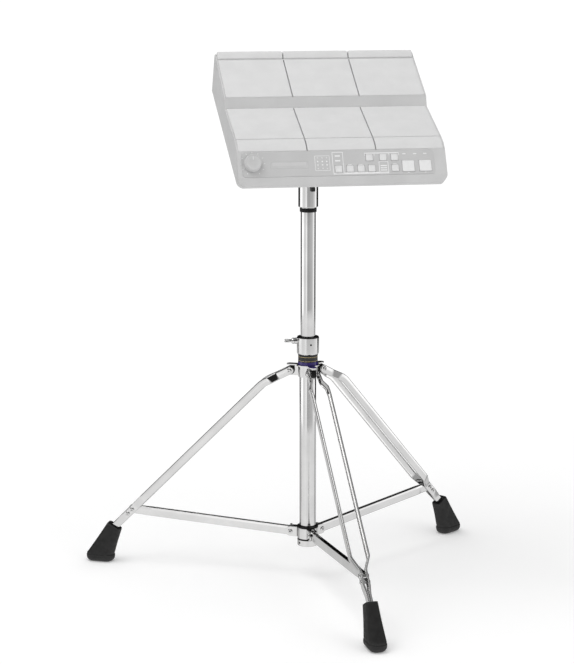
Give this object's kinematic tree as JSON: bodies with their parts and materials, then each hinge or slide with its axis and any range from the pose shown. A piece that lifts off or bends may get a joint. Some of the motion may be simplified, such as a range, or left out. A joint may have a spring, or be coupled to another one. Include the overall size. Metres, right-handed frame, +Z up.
{
  "type": "electronic practice pad on stand",
  "caption": "Electronic percussion pad unit with rows of rubber playing pads and a sloping control panel, on a tilting, height-adjustable folding tripod stand.",
  "frame": {"origin": "floor level, middle of the whole footprint", "axes": "+Z up along the stand's tubes, -Y towards the player and the control panel, +X to the player's right"},
  "size_m": [0.7052, 0.6448, 0.9019],
  "materials": {
    "chrome": "bright polished plating",
    "black_nylon": "moulded",
    "black_rubber": "moulded, matt",
    "dark_steel": "black oxide",
    "badge": "black band with a purple lower edge",
    "case": "fine texture",
    "panel": "satin printed sheet",
    "windows": "clear smoked",
    "pad_rubber": "fine matt playing surface",
    "knob": "moulded",
    "keys": "satin",
    "board": "circuit board",
    "brass": "plain",
    "jack_metal": "plated nuts and sleeves"
  },
  "bodies": {
    "stand": {"lower_tube": "chrome", "leg_hub": "chrome", "hub_lug_liners": "black_nylon", "hub_pivot_pins": "dark_steel", "height_collar": "chrome", "height_bushing": "black_nylon", "badge_band": "badge", "tube_end_stop": "chrome"},
    "collar": {"brace_collar": "chrome", "brace_collar_bushing": "black_nylon", "brace_lug_rivets": "chrome"},
    "collar_bolt": {"brace_wing_bolt": "chrome"},
    "brace_1": {"brace_1": "chrome"},
    "leg_1": {"leg_1_straps": "chrome", "leg_1_foot": "black_rubber", "leg_1_rivets": "chrome"},
    "brace_2": {"brace_2": "chrome"},
    "leg_2": {"leg_2_straps": "chrome", "leg_2_foot": "black_rubber", "leg_2_rivets": "chrome"},
    "brace_3": {"brace_3": "chrome"},
    "leg_3": {"leg_3_straps": "chrome", "leg_3_foot": "black_rubber", "leg_3_rivets": "chrome"},
    "mast": {"upper_tube": "chrome", "socket_ring": "black_nylon"},
    "height_bolt": {"height_wing_bolt": "chrome"},
    "head": {"tilter_socket": "chrome", "socket_key_bolt": "dark_steel", "tilt_friction_discs": "black_nylon"},
    "tilt_bolt": {"tilt_wing_bolt": "chrome"},
    "pad": {"tilter_head": "chrome", "mounting_plate": "dark_steel", "plate_screws": "dark_steel", "bottom_case": "case", "top_case": "case", "control_panel": "panel", "panel_windows": "windows", "rear_bar_pads": "pad_rubber", "upper_pads": "pad_rubber", "lower_pads": "pad_rubber", "front_bar_pads": "pad_rubber", "main_board": "board", "pad_sensors": "brass", "rear_jacks": "jack_metal"},
    "knob": {"volume_knob": "knob"},
    "key_1": {"key_1": "keys"},
    "key_2": {"key_2": "keys"},
    "key_3": {"key_3": "keys"},
    "key_4": {"key_4": "keys"},
    "key_5": {"key_5": "keys"},
    "key_6": {"key_6": "keys"},
    "key_7": {"key_7": "keys"},
    "key_8": {"key_8": "keys"},
    "large_key_1": {"large_key_1": "keys"},
    "large_key_2": {"large_key_2": "keys"},
    "power_button": {"power_button": "keys"}
  },
  "joints": [
    {"name": "collar_slide", "type": "slide", "parent": "stand", "child": "collar", "axis": [0, 0, 1], "range_m": [0, 0.17766]},
    {"name": "brace_1_swing", "type": "hinge", "parent": "collar", "child": "brace_1", "pos_m": [-0.00908, 0.09334, 0.0815], "axis": [-0.421, -0.907, 0], "range_deg": [0, 86.02]},
    {"name": "leg_1_fold", "type": "hinge", "parent": "brace_1", "child": "leg_1", "pos_m": [-0.27121, 0.21502, 0.0995], "axis": [0.421, 0.907, 0], "range_deg": [0, 43.88]},
    {"name": "brace_2_swing", "type": "hinge", "parent": "collar", "child": "brace_2", "pos_m": [0.04147, 0.09785, 0.0815], "axis": [-0.575, 0.8181, 0], "range_deg": [0, 86.02]},
    {"name": "leg_2_fold", "type": "hinge", "parent": "brace_2", "child": "leg_2", "pos_m": [0.27792, 0.26402, 0.0995], "axis": [0.575, -0.8181, 0], "range_deg": [0, 43.88]},
    {"name": "brace_3_swing", "type": "hinge", "parent": "collar", "child": "brace_3", "pos_m": [0.02011, 0.05182, 0.0815], "axis": [0.996, 0.0889, 0], "range_deg": [0, 86.02]},
    {"name": "leg_3_fold", "type": "hinge", "parent": "brace_3", "child": "leg_3", "pos_m": [0.0458, -0.23604, 0.0995], "axis": [-0.996, -0.0889, 0], "range_deg": [0, 43.88]},
    {"name": "collar_bolt_turn", "type": "hinge", "parent": "collar", "child": "collar_bolt", "pos_m": [0.0066, 0.10238, 0.0808], "axis": [-0.454, 0.891, 0], "range_deg": [-270, 0]},
    {"name": "mast_slide", "type": "slide", "parent": "stand", "child": "mast", "axis": [0, 0, 1], "range_m": [-0.205, 0.09]},
    {"name": "height_bolt_turn", "type": "hinge", "parent": "stand", "child": "height_bolt", "pos_m": [-0.00605, 0.08562, 0.4185], "axis": [-0.9813, 0.1925, 0], "range_deg": [-270, 0]},
    {"name": "head_swivel", "type": "hinge", "parent": "mast", "child": "head", "pos_m": [0.0175, 0.081, 0.67], "axis": [0, 0, 1], "continuous": true},
    {"name": "pad_tilt", "type": "hinge", "parent": "head", "child": "pad", "pos_m": [0.0175, 0.081, 0.715], "axis": [1, 0, 0], "range_deg": [-36.3, 33.7]},
    {"name": "tilt_bolt_turn", "type": "hinge", "parent": "head", "child": "tilt_bolt", "pos_m": [0.0175, 0.081, 0.715], "axis": [1, 0, 0], "range_deg": [-270, 0]},
    {"name": "knob_turn", "type": "hinge", "parent": "pad", "child": "knob", "pos_m": [-0.0973, -0.04048, 0.73602], "axis": [0, -0.9003, 0.4353], "range_deg": [-150, 150]},
    {"name": "key_1_press", "type": "slide", "parent": "pad", "child": "key_1", "axis": [0, 0.9003, -0.4353], "range_m": [0, 0.0009], "stiffness_N_per_m": 1500, "springref_m": -0.0002},
    {"name": "key_2_press", "type": "slide", "parent": "pad", "child": "key_2", "axis": [0, 0.9003, -0.4353], "range_m": [0, 0.0009], "stiffness_N_per_m": 1500, "springref_m": -0.0002},
    {"name": "key_3_press", "type": "slide", "parent": "pad", "child": "key_3", "axis": [0, 0.9003, -0.4353], "range_m": [0, 0.0009], "stiffness_N_per_m": 1500, "springref_m": -0.0002},
    {"name": "key_4_press", "type": "slide", "parent": "pad", "child": "key_4", "axis": [0, 0.9003, -0.4353], "range_m": [0, 0.0009], "stiffness_N_per_m": 1500, "springref_m": -0.0002},
    {"name": "key_5_press", "type": "slide", "parent": "pad", "child": "key_5", "axis": [0, 0.9003, -0.4353], "range_m": [0, 0.0009], "stiffness_N_per_m": 1500, "springref_m": -0.0002},
    {"name": "key_6_press", "type": "slide", "parent": "pad", "child": "key_6", "axis": [0, 0.9003, -0.4353], "range_m": [0, 0.0009], "stiffness_N_per_m": 1500, "springref_m": -0.0002},
    {"name": "key_7_press", "type": "slide", "parent": "pad", "child": "key_7", "axis": [0, 0.9003, -0.4353], "range_m": [0, 0.0009], "stiffness_N_per_m": 1500, "springref_m": -0.0002},
    {"name": "key_8_press", "type": "slide", "parent": "pad", "child": "key_8", "axis": [0, 0.9003, -0.4353], "range_m": [0, 0.0009], "stiffness_N_per_m": 1500, "springref_m": -0.0002},
    {"name": "large_key_1_press", "type": "slide", "parent": "pad", "child": "large_key_1", "axis": [0, 0.9003, -0.4353], "range_m": [0, 0.0012], "stiffness_N_per_m": 1500, "springref_m": -0.0002},
    {"name": "large_key_2_press", "type": "slide", "parent": "pad", "child": "large_key_2", "axis": [0, 0.9003, -0.4353], "range_m": [0, 0.0012], "stiffness_N_per_m": 1500, "springref_m": -0.0002},
    {"name": "power_button_press", "type": "slide", "parent": "pad", "child": "power_button", "axis": [0, -0.8965, -0.4431], "range_m": [0, 0.002], "stiffness_N_per_m": 1500, "springref_m": -0.0002}
  ],
  "couplings": [
    {"joint": "brace_1_swing", "follows": "collar_slide", "rad_per_m": 8.4457},
    {"joint": "leg_1_fold", "follows": "collar_slide", "rad_per_m": 4.3059},
    {"joint": "brace_2_swing", "follows": "collar_slide", "rad_per_m": 8.4457},
    {"joint": "leg_2_fold", "follows": "collar_slide", "rad_per_m": 4.3059},
    {"joint": "brace_3_swing", "follows": "collar_slide", "rad_per_m": 8.4457},
    {"joint": "leg_3_fold", "follows": "collar_slide", "rad_per_m": 4.3059}
  ]
}
